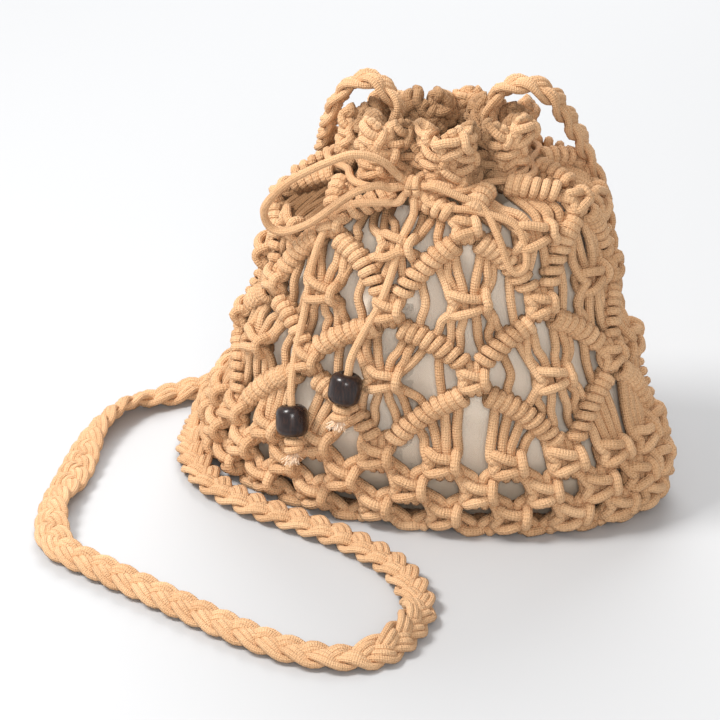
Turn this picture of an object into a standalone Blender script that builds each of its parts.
"""Macrame drawstring bag, standing on its base with its strap laid on the surface.

Units are metres and +Z is up. The front of the bag faces -Y and its right side is +X. The origin
is the middle of the base, on the surface that the bag stands on.

The net is a wall that is cut through where the knotted cords leave a gap. Its places are given by
a turn, in radians round the bag from the middle of the front toward +X, and by a level, which
counts the rows of BODY_SECTIONS up from the base.
"""
import math

import bmesh
import bpy
import numpy as np
from mathutils import Matrix, Vector

OBJECT_NAME = "macrame_bag"

# Driving sizes of the bag
BAG_WIDTH = 0.234
BAG_DEPTH = 0.132
NECK_HEIGHT = 0.172
CROWN_HEIGHT = 0.026
NET_WALL = 0.007
CROWN_WALL = 0.006
BASE_THICKNESS = 0.006
LINING_WALL = 0.0015

# Driving sizes of the cords, the strap and the beads
CORD = 0.004
STRAP_WIDTH = 0.018
STRAP_THICKNESS = 0.0085
BEAD_DIAMETER = 0.016
BEAD_HEIGHT = 0.015
BOW_KNOT_WIDTH = 0.013
BOW_KNOT_DEPTH = 0.010
END_KNOT_WIDTH = 0.010
END_KNOT_LENGTH = 0.015

# Folds of the net, as depths from the mean surface
NECK_FOLD = 0.0035
CROWN_FOLD = 0.0060
CROWN_RUFFLE = 0.0016
CROWN_FLARE = 0.0025
RIM_WAVE = 0.0018
RIM_WAVE_START = 1.0
CROWN_STRAIGHT = 0.1

# Clearances
GAP = 0.0003
LINING_GAP = 0.0018
NECK_CORD_GAP = 0.0010
BORE_GAP = 0.0006
SEAT_GAP = 0.0009
LAID_GAP = 0.0009
MERGE = 0.00001

# Where the drawstring lies round the neck, as a share of NECK_HEIGHT, and where its bow is tied
NECK_CORD_HEIGHT = 0.972
BOW_KNOT_TURN = 4.0
BOW_KNOT_RISE = 0.0025

# Where the lining starts above its floor and ends below the neck, as shares of NECK_HEIGHT
LINING_FOOT = 0.02
LINING_TOP = 0.91

# The knotted pattern: diamonds round the bag, and square knots in a row below them
DIAMONDS = 7
KNOTS_PER_DIAMOND = 3
LOBE_COLUMN = 0.4

# How finely the surfaces are faceted
BODY_COLUMNS = 36
BODY_RINGS = 11
CROWN_COLUMNS = 49
CROWN_RINGS = 4
LINING_COLUMNS = 28
LINING_RINGS = 8
RING_POINTS = 56
STRAP_SIDES = 8
CORD_STEP = 2.8
BEAD_SIDES = 12
BEAD_ROWS = 6
BEAD_SHOULDER = 64.0
KNOT_SIDES = 10
BOW_KNOT_COLUMNS = 14
BOW_KNOT_RINGS = 8
SMOOTH_STEPS = 12
LEVEL_SAMPLES = 400

# Sections of the net body. height and lean are shares of NECK_HEIGHT, half_width and half_depth
# are shares of half of BAG_WIDTH and BAG_DEPTH, and gather is a share of NECK_FOLD.
#   height, half_width, half_depth, lean, gather
BODY_SECTIONS = [
    (0.000, 0.880, 0.860, 0.000, 0.0),
    (0.035, 0.935, 0.940, 0.000, 0.0),
    (0.085, 0.975, 0.985, 0.000, 0.0),
    (0.160, 0.975, 1.000, 0.002, 0.0),
    (0.290, 0.902, 1.000, 0.006, 0.0),
    (0.471, 0.825, 0.977, 0.015, 0.0),
    (0.616, 0.748, 0.947, 0.022, 0.0),
    (0.756, 0.701, 0.902, 0.034, 0.1),
    (0.860, 0.667, 0.833, 0.044, 0.4),
    (0.907, 0.598, 0.758, 0.045, 0.8),
    (0.945, 0.496, 0.689, 0.030, 1.0),
    (0.970, 0.415, 0.622, 0.010, 1.0),
    (0.985, 0.385, 0.585, 0.003, 1.0),
    (1.000, 0.376, 0.576, 0.000, 1.0),
]

# The crown's rim round the bag: its height as a share of CROWN_HEIGHT, and how far it leans out
# as a share of CROWN_FLARE.
#   turn in degrees, height, flare
CROWN_RIM = [
    (0, 1.00, 1.0),
    (45, 0.97, 1.0),
    (90, 0.92, 0.6),
    (135, 0.76, 1.0),
    (180, 0.68, 1.0),
    (225, 0.66, 0.0),
    (270, 0.62, -1.6),
    (315, 0.88, -0.4),
    (360, 1.00, 1.0),
]

# Gaps through the net. column counts diamonds, and side is how far the gap lies to each side of
# it, both in diamond pitches. half_width is a share of the pitch; height and half_height are
# shares of NECK_HEIGHT.
#   column, side, height, half_width, half_height
DIAMOND_GAPS = [
    (-0.10, 0.20, 0.850, 0.100, 0.040),
    (0.40, 0.22, 0.735, 0.120, 0.058),
    (0.40, 0.13, 0.600, 0.085, 0.038),
    (-0.10, 0.22, 0.525, 0.120, 0.060),
    (-0.10, 0.13, 0.390, 0.085, 0.038),
    (0.40, 0.00, 0.360, 0.115, 0.050),
]

# Gaps beside the square knots below the diamonds, one for each knot.
#   column, height, half_width, half_height
KNOT_GAPS = [
    (0.067, 0.235, 0.065, 0.030),
    (0.233, 0.135, 0.065, 0.030),
]

# Where each cord leaves the knot of the bow, in degrees from +X toward +Z
KNOT_SEATS = {
    "loop_left_over": 140,
    "loop_left_under": 186,
    "tail_left": 230,
    "tail_right": 275,
    "loop_right_under": 320,
    "loop_right_over": 12,
}
KNOT_SEAT_FORWARD = 0.25
SEAT_RUN = 0.004

# Free ends of the drawstring, laid on the front of the bag. lift is the share of a bead's radius
# by which the cord leaves the net.
#   height share, turn in degrees, lift
TAIL_LEFT = [
    (0.937, -11.0, 0.70),
    (0.940, -22.0, 0.50),
    (0.928, -28.5, 0.20),
    (0.905, -30.0, 0.0),
    (0.856, -31.0, 0.0),
    (0.772, -33.5, 0.0),
    (0.640, -34.0, 0.0),
    (0.545, -34.0, 0.0),
    (0.465, -33.0, 0.25),
    (0.400, -31.0, 0.80),
    (0.355, -29.5, 1.0),
]
TAIL_RIGHT = [
    (0.915, 3.0, 0.20),
    (0.890, 1.0, 0.0),
    (0.860, -1.0, 0.0),
    (0.760, -4.0, 0.0),
    (0.682, -7.0, 0.0),
    (0.600, -11.0, 0.25),
    (0.535, -13.0, 0.80),
    (0.490, -13.2, 1.0),
]

# The right loop of the bow, which lies on the shoulder.
#   height share, turn in degrees, lift
BOW_RIGHT = [
    (0.950, 22.5, 0.60),
    (0.925, 29.5, 0.15),
    (0.863, 32.0, 0.0),
    (0.794, 35.0, 0.0),
    (0.764, 38.0, 0.0),
    (0.777, 42.0, 0.0),
    (0.830, 42.0, 0.0),
    (0.878, 39.0, 0.0),
    (0.921, 27.0, 0.0),
    (0.936, 19.0, 0.15),
]

# The left loop of the bow stands free of the bag, in metres
BOW_LEFT = [
    (-0.0100, -0.0545, 0.1860),
    (-0.0155, -0.0575, 0.1897),
    (-0.0241, -0.0613, 0.1914),
    (-0.0333, -0.0628, 0.1880),
    (-0.0444, -0.0616, 0.1815),
    (-0.0553, -0.0583, 0.1735),
    (-0.0645, -0.0545, 0.1640),
    (-0.0707, -0.0510, 0.1544),
    (-0.0697, -0.0487, 0.1459),
    (-0.0644, -0.0483, 0.1427),
    (-0.0567, -0.0493, 0.1450),
    (-0.0457, -0.0526, 0.1521),
    (-0.0334, -0.0555, 0.1632),
    (-0.0229, -0.0579, 0.1718),
    (-0.0140, -0.0545, 0.1745),
]

# Outline of the knot on a cord's end with its frayed tuft, from its top down, as shares of half of
# END_KNOT_WIDTH and of END_KNOT_LENGTH.
#   radius, depth
END_KNOT_OUTLINE = [
    (0.00, 0.00),
    (0.70, 0.03),
    (1.00, 0.22),
    (0.82, 0.42),
    (0.62, 0.52),
    (0.80, 0.75),
    (0.88, 1.00),
    (0.00, 1.00),
]

# Which way the flat side of the strap looks
FACINGS = {
    "up": (0.0, 0.0, 1.0),
    "tipped_right": (0.60, -0.30, 0.75),
    "tipped_left": (-0.60, 0.10, 0.80),
    "right": (0.96, 0.26, 0.1),
    "back_right": (0.72, 0.69, 0.1),
    "back": (0.1, 0.95, 0.3),
    "left": (-0.97, 0.15, 0.1),
    "back_left": (-0.72, 0.69, 0.1),
}

# Route of the strap, from inside the right of the crown, over its rim, down behind the bag, round
# the loop on the surface and up again to the left of the crown.
#   x, y, z in metres, facing
STRAP_ROUTE = [
    (0.0270, 0.0065, 0.1800, "left"),
    (0.0250, 0.0070, 0.1910, "left"),
    (0.0280, 0.0078, 0.2020, "left"),
    (0.0376, 0.0101, 0.2075, "up"),
    (0.0503, 0.0135, 0.2030, "right"),
    (0.0575, 0.0206, 0.1900, "right"),
    (0.0645, 0.0290, 0.1730, "right"),
    (0.0700, 0.0350, 0.1530, "back_right"),
    (0.0730, 0.0420, 0.1310, "back_right"),
    (0.0750, 0.0500, 0.1000, "back_right"),
    (0.0765, 0.0600, 0.0680, "back_right"),
    (0.0730, 0.0710, 0.0380, "back_right"),
    (0.0620, 0.0850, 0.0140, "back"),
    (0.0380, 0.0940, 0.0050, "up"),
    (0.0000, 0.0980, 0.0050, "up"),
    (-0.0450, 0.0960, 0.0050, "up"),
    (-0.0880, 0.0860, 0.0050, "up"),
    (-0.1180, 0.0710, 0.0050, "up"),
    (-0.1350, 0.0580, 0.0050, "up"),
    (-0.1530, 0.0380, 0.0050, "up"),
    (-0.1690, 0.0200, 0.0050, "tipped_left"),
    (-0.1740, -0.0160, 0.0050, "tipped_left"),
    (-0.1680, -0.0610, 0.0050, "up"),
    (-0.1650, -0.0980, 0.0050, "tipped_left"),
    (-0.1500, -0.1320, 0.0050, "up"),
    (-0.1230, -0.1480, 0.0050, "up"),
    (-0.0940, -0.1620, 0.0050, "up"),
    (-0.0650, -0.1760, 0.0050, "up"),
    (-0.0360, -0.1890, 0.0050, "up"),
    (-0.0100, -0.1970, 0.0050, "up"),
    (0.0130, -0.1960, 0.0050, "up"),
    (0.0300, -0.1820, 0.0050, "tipped_right"),
    (0.0340, -0.1530, 0.0050, "tipped_right"),
    (0.0260, -0.1300, 0.0050, "up"),
    (0.0090, -0.1070, 0.0050, "up"),
    (-0.0180, -0.0890, 0.0050, "up"),
    (-0.0470, -0.0770, 0.0050, "up"),
    (-0.0780, -0.0650, 0.0050, "up"),
    (-0.1050, -0.0450, 0.0050, "up"),
    (-0.1240, -0.0110, 0.0050, "tipped_left"),
    (-0.1300, 0.0240, 0.0070, "left"),
    (-0.1240, 0.0440, 0.0180, "back_left"),
    (-0.1110, 0.0530, 0.0380, "back_left"),
    (-0.0960, 0.0520, 0.0660, "back_left"),
    (-0.0820, 0.0480, 0.0940, "back_left"),
    (-0.0720, 0.0440, 0.1220, "back_left"),
    (-0.0660, 0.0360, 0.1480, "back_left"),
    (-0.0600, 0.0190, 0.1720, "left"),
    (-0.0540, 0.0080, 0.1860, "left"),
    (-0.0463, 0.0045, 0.1988, "left"),
    (-0.0335, 0.0040, 0.2044, "up"),
    (-0.0218, 0.0040, 0.1932, "right"),
    (-0.0215, 0.0040, 0.1810, "right"),
]
STRAP_SPACING = 0.016

SECTIONS = np.array(BODY_SECTIONS)
TOP_LEVEL = len(BODY_SECTIONS) - 1


def clear_scene():
    """Remove what the scene holds."""
    for item in list(bpy.data.objects):
        bpy.data.objects.remove(item, do_unlink=True)


def make_collection(name):
    """Add a collection to the scene."""
    collection = bpy.data.collections.new(name)
    bpy.context.scene.collection.children.link(collection)
    return collection


def make_material(name, colour, roughness):
    """A plain finish."""
    material = bpy.data.materials.new(name)
    material.use_nodes = True
    shader = material.node_tree.nodes["Principled BSDF"]
    shader.inputs["Base Color"].default_value = (*colour, 1.0)
    shader.inputs["Roughness"].default_value = roughness
    shader.inputs["Metallic"].default_value = 0.0
    return material


def add_object(name, data, collection, material=None):
    """Add a piece made of the mesh or curve."""
    piece = bpy.data.objects.new(name, data)
    if material:
        data.materials.append(material)
    collection.objects.link(piece)
    return piece


def mesh_from(bm, name, smooth=True):
    """Turn the bmesh into a mesh with its faces looking out."""
    bmesh.ops.recalc_face_normals(bm, faces=bm.faces)
    mesh = bpy.data.meshes.new(name)
    bm.to_mesh(mesh)
    bm.free()
    if smooth:
        mesh.shade_smooth()
    return mesh


def catmull_rom(before, start, end, after, share):
    """Smooth value a share of the way from start to end."""
    bend = 2 * before - 5 * start + 4 * end - after
    twist = 3 * start - before - 3 * end + after
    return 0.5 * (2 * start + (end - before) * share + bend * share ** 2 + twist * share ** 3)


def section_at(level):
    """Height, half width, half depth, lean and gather at a level, as shares."""
    level = min(max(level, 0.0), TOP_LEVEL - 1e-9)
    row = int(level)
    rows = [SECTIONS[min(max(row + step, 0), TOP_LEVEL)] for step in (-1, 0, 1, 2)]
    return catmull_rom(*rows, level - row)


SAMPLE_LEVELS = np.linspace(0, TOP_LEVEL, LEVEL_SAMPLES)
SAMPLE_HEIGHTS = np.array([section_at(level)[0] for level in SAMPLE_LEVELS])


def level_at(height):
    """Level whose height is this share of NECK_HEIGHT."""
    return float(np.interp(height, SAMPLE_HEIGHTS, SAMPLE_LEVELS))


def lobe(turn):
    """Folds of the gathered neck round the bag, from -1 to 1."""
    return math.cos(DIAMONDS * turn - math.tau * LOBE_COLUMN)


def body_surface(level, turn):
    """Point on the outer surface of the net body."""
    height, half_width, half_depth, lean, gather = section_at(level)
    fold = gather * NECK_FOLD * lobe(turn)
    across = (half_width * BAG_WIDTH / 2 + fold) * math.sin(turn)
    toward = -(half_depth * BAG_DEPTH / 2 + fold) * math.cos(turn)
    return Vector((across, toward, (height + lean * math.sin(turn)) * NECK_HEIGHT))


def body_frame(level, turn):
    """Point on the net body with its directions round, up and out."""
    step = 0.001
    round_way = body_surface(level, turn + step) - body_surface(level, turn - step)
    upper = min(level + step, TOP_LEVEL)
    lower = max(level - step, 0.0)
    up_way = body_surface(upper, turn) - body_surface(lower, turn)
    out = round_way.cross(up_way).normalized()
    return body_surface(level, turn), round_way.normalized(), up_way.normalized(), out


def body_point(level, turn, lift=0.0):
    """Point a distance out from the net body, or inside it where lift is negative."""
    point, _, _, out = body_frame(level, turn)
    return point + out * lift


def column_turn(column):
    """Turn of a column that counts diamonds."""
    return math.tau * column / DIAMONDS


def wrapped_sheet(columns, rings, place):
    """Sheet of quads bent round the bag. place takes a turn and a share of the height."""
    bm = bmesh.new()
    bmesh.ops.create_grid(bm, x_segments=columns, y_segments=rings, size=0.5)
    for vertex in bm.verts:
        vertex.co = place(vertex.co.x * math.tau, vertex.co.y + 0.5)
    bmesh.ops.remove_doubles(bm, verts=bm.verts, dist=MERGE)
    return bm


def add_shell(piece, thickness, offset):
    """Give an open surface its thickness."""
    shell = piece.modifiers.new("wall", "SOLIDIFY")
    shell.thickness = thickness
    shell.offset = offset
    shell.use_even_offset = False


def add_gap(bm, column, height, half_width, half_height):
    """Four-sided prism through the net wall at one gap."""
    level = level_at(height)
    turn = column_turn(column)
    _, round_way, up_way, out = body_frame(level, turn)
    centre = body_point(level, turn, -NET_WALL / 2)
    one_side = body_surface(level, turn - column_turn(0.5))
    other_side = body_surface(level, turn + column_turn(0.5))
    pitch = (other_side - one_side).length
    axes = Matrix.Identity(4)
    axes.col[0] = (round_way * half_width * pitch).to_4d()
    axes.col[1] = (up_way * half_height * NECK_HEIGHT).to_4d()
    axes.col[2] = (out * NET_WALL).to_4d()
    axes.col[3] = centre.to_4d()
    for corner in range(3):
        axes[3][corner] = 0.0
    bmesh.ops.create_cone(bm, cap_ends=True, segments=4, radius1=1, radius2=1, depth=3, matrix=axes)


def make_gap_cutter(collection):
    """All the gaps of the net as one cutter."""
    bm = bmesh.new()
    for column, side, height, half_width, half_height in DIAMOND_GAPS:
        sides = (-side, side) if side else (0.0,)
        for diamond in range(DIAMONDS):
            for offset in sides:
                add_gap(bm, column + diamond + offset, height, half_width, half_height)
    for column, height, half_width, half_height in KNOT_GAPS:
        for knot in range(DIAMONDS * KNOTS_PER_DIAMOND):
            add_gap(bm, column + knot / KNOTS_PER_DIAMOND, height, half_width, half_height)
    cutter = add_object("net_gaps", mesh_from(bm, "net_gaps", smooth=False), collection)
    cutter.hide_render = True
    cutter.display_type = "WIRE"
    return cutter


def make_net_body(collection, cutters, material):
    """The net from the base to the neck, gathered at the neck and cut through at its gaps."""
    bm = wrapped_sheet(
        BODY_COLUMNS, BODY_RINGS, lambda turn, share: body_surface(share * TOP_LEVEL, turn)
    )
    body = add_object("net_body", mesh_from(bm, "net_body"), collection, material)
    add_shell(body, NET_WALL, -1.0)
    cut = body.modifiers.new("gaps", "BOOLEAN")
    cut.operation = "DIFFERENCE"
    cut.solver = "EXACT"
    cut.object = make_gap_cutter(cutters)
    return body


def make_base_mat(collection, material):
    """Flat oval that closes the bottom of the net."""
    curve = bpy.data.curves.new("base_mat", "CURVE")
    curve.dimensions = "2D"
    curve.fill_mode = "BOTH"
    curve.extrude = BASE_THICKNESS / 2
    outline = curve.splines.new("POLY")
    outline.points.add(BODY_COLUMNS - 1)
    outline.use_cyclic_u = True
    for index, point in enumerate(outline.points):
        rim = body_point(0.0, math.tau * index / BODY_COLUMNS, -NET_WALL - 2 * GAP)
        point.co = (rim.x, rim.y, 0.0, 1.0)
    mat = add_object("base_mat", curve, collection, material)
    mat.location.z = BASE_THICKNESS / 2
    return mat


def lining_place(turn, share):
    """Point on the outside of the lining."""
    low = level_at(LINING_FOOT)
    high = level_at(LINING_TOP)
    inset = -NET_WALL - LINING_GAP
    if share > 0:
        return body_point(low + (high - low) * share, turn, inset)
    corner = body_point(0.0, turn, inset - LINING_WALL)
    return Vector((corner.x, corner.y, BASE_THICKNESS + GAP))


def make_lining(collection, material):
    """Cloth pouch inside the net, open at the neck."""
    bm = wrapped_sheet(LINING_COLUMNS, LINING_RINGS, lining_place)
    foot = BASE_THICKNESS + 2 * GAP
    floor = [edge for edge in bm.edges if edge.is_boundary and edge.verts[0].co.z < foot]
    bmesh.ops.edgeloop_fill(bm, edges=floor)
    lining = add_object("lining_pouch", mesh_from(bm, "lining_pouch"), collection, material)
    add_shell(lining, LINING_WALL, -1.0)
    return lining


def crown_point(share, turn):
    """Point on the middle of the crown's wall. share runs from its foot to its rim."""
    neck = body_surface(TOP_LEVEL, turn)
    across = Vector((neck.x, neck.y, 0.0)).normalized()
    grown = max(0.0, share - CROWN_STRAIGHT) / (1 - CROWN_STRAIGHT)
    ease = grown * grown * (3 - 2 * grown)
    ruffle = CROWN_RUFFLE * math.sin(2 * DIAMONDS * turn)
    degrees, heights, flares = zip(*CROWN_RIM)
    flare = CROWN_FLARE * float(np.interp(math.degrees(turn) % 360, degrees, flares))
    reach = ease * (flare + (CROWN_FOLD - NECK_FOLD) * lobe(turn) + ruffle)
    rim = CROWN_HEIGHT * float(np.interp(math.degrees(turn) % 360, degrees, heights))
    rim += RIM_WAVE * math.cos(2 * DIAMONDS * turn + RIM_WAVE_START)
    point = neck + across * (reach - CROWN_WALL / 2)
    point.z = NECK_HEIGHT + 2 * GAP + share * rim
    return point


def make_crown(collection, material):
    """Ruffled frill of close knots above the drawstring."""
    bm = wrapped_sheet(CROWN_COLUMNS, CROWN_RINGS, lambda turn, share: crown_point(share, turn))
    crown = add_object("net_crown", mesh_from(bm, "net_crown"), collection, material)
    add_shell(crown, CROWN_WALL, 0.0)
    return crown


def smooth_path(points, spacing, closed=False):
    """Evenly spaced points along a smooth curve through the given points."""
    route = [np.array(point, dtype=float) for point in points]
    count = len(route)
    dense = []
    for index in range(count if closed else count - 1):
        if closed:
            rows = [route[(index + step) % count] for step in (-1, 0, 1, 2)]
        else:
            rows = [route[min(max(index + step, 0), count - 1)] for step in (-1, 0, 1, 2)]
        dense += [catmull_rom(*rows, step / SMOOTH_STEPS) for step in range(SMOOTH_STEPS)]
    dense.append(route[0] if closed else route[-1])
    dense = np.array(dense)
    strides = np.linalg.norm(np.diff(dense[:, :3], axis=0), axis=1)
    travelled = np.concatenate([[0.0], np.cumsum(strides)])
    stops = np.linspace(0.0, travelled[-1], max(2, round(travelled[-1] / spacing)) + 1)
    even = np.stack([np.interp(stops, travelled, column) for column in dense.T], axis=1)
    return even[:-1] if closed else even


def add_cord(name, points, diameter, collection, material, closed=False):
    """Round cord through the points, as a curve with a bevel."""
    even = smooth_path(points, CORD_STEP * diameter, closed)
    curve = bpy.data.curves.new(name, "CURVE")
    curve.dimensions = "3D"
    curve.bevel_depth = diameter / 2
    curve.bevel_resolution = 2
    curve.use_fill_caps = not closed
    spline = curve.splines.new("POLY")
    spline.points.add(len(even) - 1)
    spline.use_cyclic_u = closed
    for point, place in zip(spline.points, even):
        point.co = (*place, 1.0)
    return add_object(name, curve, collection, material)


def on_body(rows):
    """Points of a cord that lies on the net, from rows of height, turn in degrees and lift."""
    rest = CORD / 2 + LAID_GAP
    raised = BEAD_DIAMETER / 2 + LAID_GAP
    points = []
    for height, degrees, lift in rows:
        out = rest + (raised - rest) * lift
        points.append(body_point(level_at(height), math.radians(degrees), out))
    return points


def neck_cord_point(turn, lift):
    """Point of the groove of the neck where the drawstring lies, a distance out from the net."""
    return body_point(level_at(NECK_CORD_HEIGHT), turn, lift)


def make_neck_cord(collection, material):
    """The drawstring where it is drawn round the neck."""
    points = []
    for index in range(RING_POINTS):
        points.append(neck_cord_point(math.tau * index / RING_POINTS, CORD / 2 + NECK_CORD_GAP))
    return add_cord("neck_cord", points, CORD, collection, material, closed=True)


def bow_knot_centre():
    """Middle of the knot of the bow, in front of the neck."""
    front = neck_cord_point(math.radians(BOW_KNOT_TURN), CORD + NECK_CORD_GAP)
    return front + Vector((0.0, -GAP - BOW_KNOT_DEPTH / 2, BOW_KNOT_RISE))


def knot_seat(name):
    """Two points by which a cord leaves the knot of the bow, square to its surface."""
    angle = math.radians(KNOT_SEATS[name])
    way = Vector((math.cos(angle), -KNOT_SEAT_FORWARD, math.sin(angle))).normalized()
    half = Vector((BOW_KNOT_WIDTH / 2, BOW_KNOT_DEPTH / 2, BOW_KNOT_DEPTH / 2))
    surface = Vector((way.x * half.x, way.y * half.y, way.z * half.z))
    out = Vector((way.x / half.x, way.y / half.y, way.z / half.z)).normalized()
    start = bow_knot_centre() + surface + out * SEAT_GAP
    return [start, start + out * SEAT_RUN]


def make_bow_knot(collection, material):
    """Rounded knot of the bow."""
    bm = bmesh.new()
    half = Vector((BOW_KNOT_WIDTH / 2, BOW_KNOT_DEPTH / 2, BOW_KNOT_DEPTH / 2))
    bmesh.ops.create_uvsphere(
        bm,
        u_segments=BOW_KNOT_COLUMNS,
        v_segments=BOW_KNOT_RINGS,
        radius=1.0,
        matrix=Matrix.Diagonal(half).to_4x4(),
    )
    knot = add_object("bow_knot", mesh_from(bm, "bow_knot"), collection, material)
    knot.location = bow_knot_centre()
    return knot


def turned(name, profile, collection, material, sides):
    """Turned shape whose profile holds radius and height, from its top down."""
    mesh = bpy.data.meshes.new(name)
    vertices = [(radius, 0.0, height) for radius, height in profile]
    edges = [(index, index + 1) for index in range(len(profile) - 1)]
    mesh.from_pydata(vertices, edges, [])
    piece = add_object(name, mesh, collection, material)
    screw = piece.modifiers.new("turn", "SCREW")
    screw.steps = sides
    screw.render_steps = sides
    screw.use_merge_vertices = True
    screw.merge_threshold = MERGE
    screw.use_smooth_shade = True
    return piece


def bead_profile():
    """Round bead with flattened ends and a bore, as a closed line from its top down."""
    bore = CORD / 2 + BORE_GAP
    radius = BEAD_DIAMETER / 2
    half = BEAD_HEIGHT / 2
    shoulder = math.radians(BEAD_SHOULDER)
    outer = []
    for step in range(BEAD_ROWS + 1):
        angle = shoulder * (1 - 2 * step / BEAD_ROWS)
        height = half * math.sin(angle) / math.sin(shoulder)
        outer.append((radius * math.cos(angle), height))
    return [(bore, half)] + outer + [(bore, -half), (bore, half)]


def end_knot_profile():
    """Knot on a cord's end with its frayed tuft, from the top down."""
    half = END_KNOT_WIDTH / 2
    return [(radius * half, -depth * END_KNOT_LENGTH) for radius, depth in END_KNOT_OUTLINE]


def make_tail(side, rows, collection, cord_material, bead_material):
    """One free end of the drawstring with its bead and end knot."""
    points = knot_seat("tail_" + side) + on_body(rows)
    along = (points[-1] - points[-2]).normalized()
    bead_centre = points[-1] + along * (BEAD_HEIGHT / 2 + GAP)
    cord_end = bead_centre + along * (BEAD_HEIGHT / 2)
    bead_top = bead_centre - along * (BEAD_HEIGHT / 2 + BORE_GAP)
    route = points[:-1] + [bead_top, bead_centre, cord_end]
    add_cord("tail_" + side, route, CORD, collection, cord_material)
    spin = along.to_track_quat("-Z", "Y")
    bead = turned("bead_" + side, bead_profile(), collection, bead_material, BEAD_SIDES)
    knot = turned("end_knot_" + side, end_knot_profile(), collection, cord_material, KNOT_SIDES)
    for piece, place in ((bead, bead_centre), (knot, cord_end + along * GAP)):
        piece.rotation_mode = "QUATERNION"
        piece.rotation_quaternion = spin
        piece.location = place


def make_bow(collection, material):
    """The two loops of the bow."""
    middles = {"left": [Vector(point) for point in BOW_LEFT], "right": on_body(BOW_RIGHT)}
    for side, middle in middles.items():
        over = knot_seat("loop_" + side + "_over")
        under = knot_seat("loop_" + side + "_under")
        add_cord("bow_loop_" + side, over + middle + under[::-1], CORD, collection, material)


def make_strap(collection, material):
    """Flat braided strap, swept along its route with its flat side turned as the route says."""
    rows = [(*row[:3], *Vector(FACINGS[row[3]]).normalized()) for row in STRAP_ROUTE]
    even = smooth_path(rows, STRAP_SPACING)
    places = [Vector(row[:3]) for row in even]
    bm = bmesh.new()
    ring = None
    across = None
    for index, place in enumerate(places):
        along = (places[min(index + 1, len(places) - 1)] - places[max(index - 1, 0)]).normalized()
        sideways = Vector(even[index][3:]).cross(along).normalized()
        if across and sideways.dot(across) < 0:
            sideways = -sideways
        across = sideways
        thick = along.cross(across)
        reach_down = math.hypot(across.z * STRAP_WIDTH, thick.z * STRAP_THICKNESS) / 2
        place.z = max(place.z, reach_down + GAP)
        if ring is None:
            made = bmesh.ops.create_circle(bm, cap_ends=True, segments=STRAP_SIDES, radius=1.0)
            ring = made["verts"]
        else:
            edges = [edge for edge in bm.edges if all(vertex in ring for vertex in edge.verts)]
            made = bmesh.ops.extrude_edge_only(bm, edges=edges)
            fresh = [item for item in made["geom"] if isinstance(item, bmesh.types.BMVert)]
            ring = ordered_ring(ring, fresh)
        for step, vertex in enumerate(ring):
            angle = math.tau * step / STRAP_SIDES
            wide = across * math.cos(angle) * STRAP_WIDTH / 2
            deep = thick * math.sin(angle) * STRAP_THICKNESS / 2
            vertex.co = place + wide + deep
    bm.faces.new(ring)
    return add_object("strap", mesh_from(bm, "strap"), collection, material)


def ordered_ring(ring, fresh):
    """The new ring's vertices in the order of the ring that they were drawn from."""
    fresh = set(fresh)
    ordered = []
    for vertex in ring:
        neighbours = [edge.other_vert(vertex) for edge in vertex.link_edges]
        ordered.append(next(item for item in neighbours if item in fresh))
    return ordered


def main():
    """Build the bag."""
    clear_scene()
    parts = make_collection(OBJECT_NAME)
    cutters = make_collection("cutters")
    cotton = make_material("cotton_cord", (0.62, 0.37, 0.19), 0.9)
    lining_cloth = make_material("cotton_lining", (0.78, 0.70, 0.60), 0.9)
    dark_wood = make_material("dark_wood", (0.030, 0.016, 0.014), 0.3)
    make_net_body(parts, cutters, cotton)
    make_base_mat(parts, cotton)
    make_lining(parts, lining_cloth)
    make_crown(parts, cotton)
    make_neck_cord(parts, cotton)
    make_bow_knot(parts, cotton)
    make_bow(parts, cotton)
    make_tail("left", TAIL_LEFT, parts, cotton, dark_wood)
    make_tail("right", TAIL_RIGHT, parts, cotton, dark_wood)
    make_strap(parts, cotton)


if __name__ == "__main__":
    main()
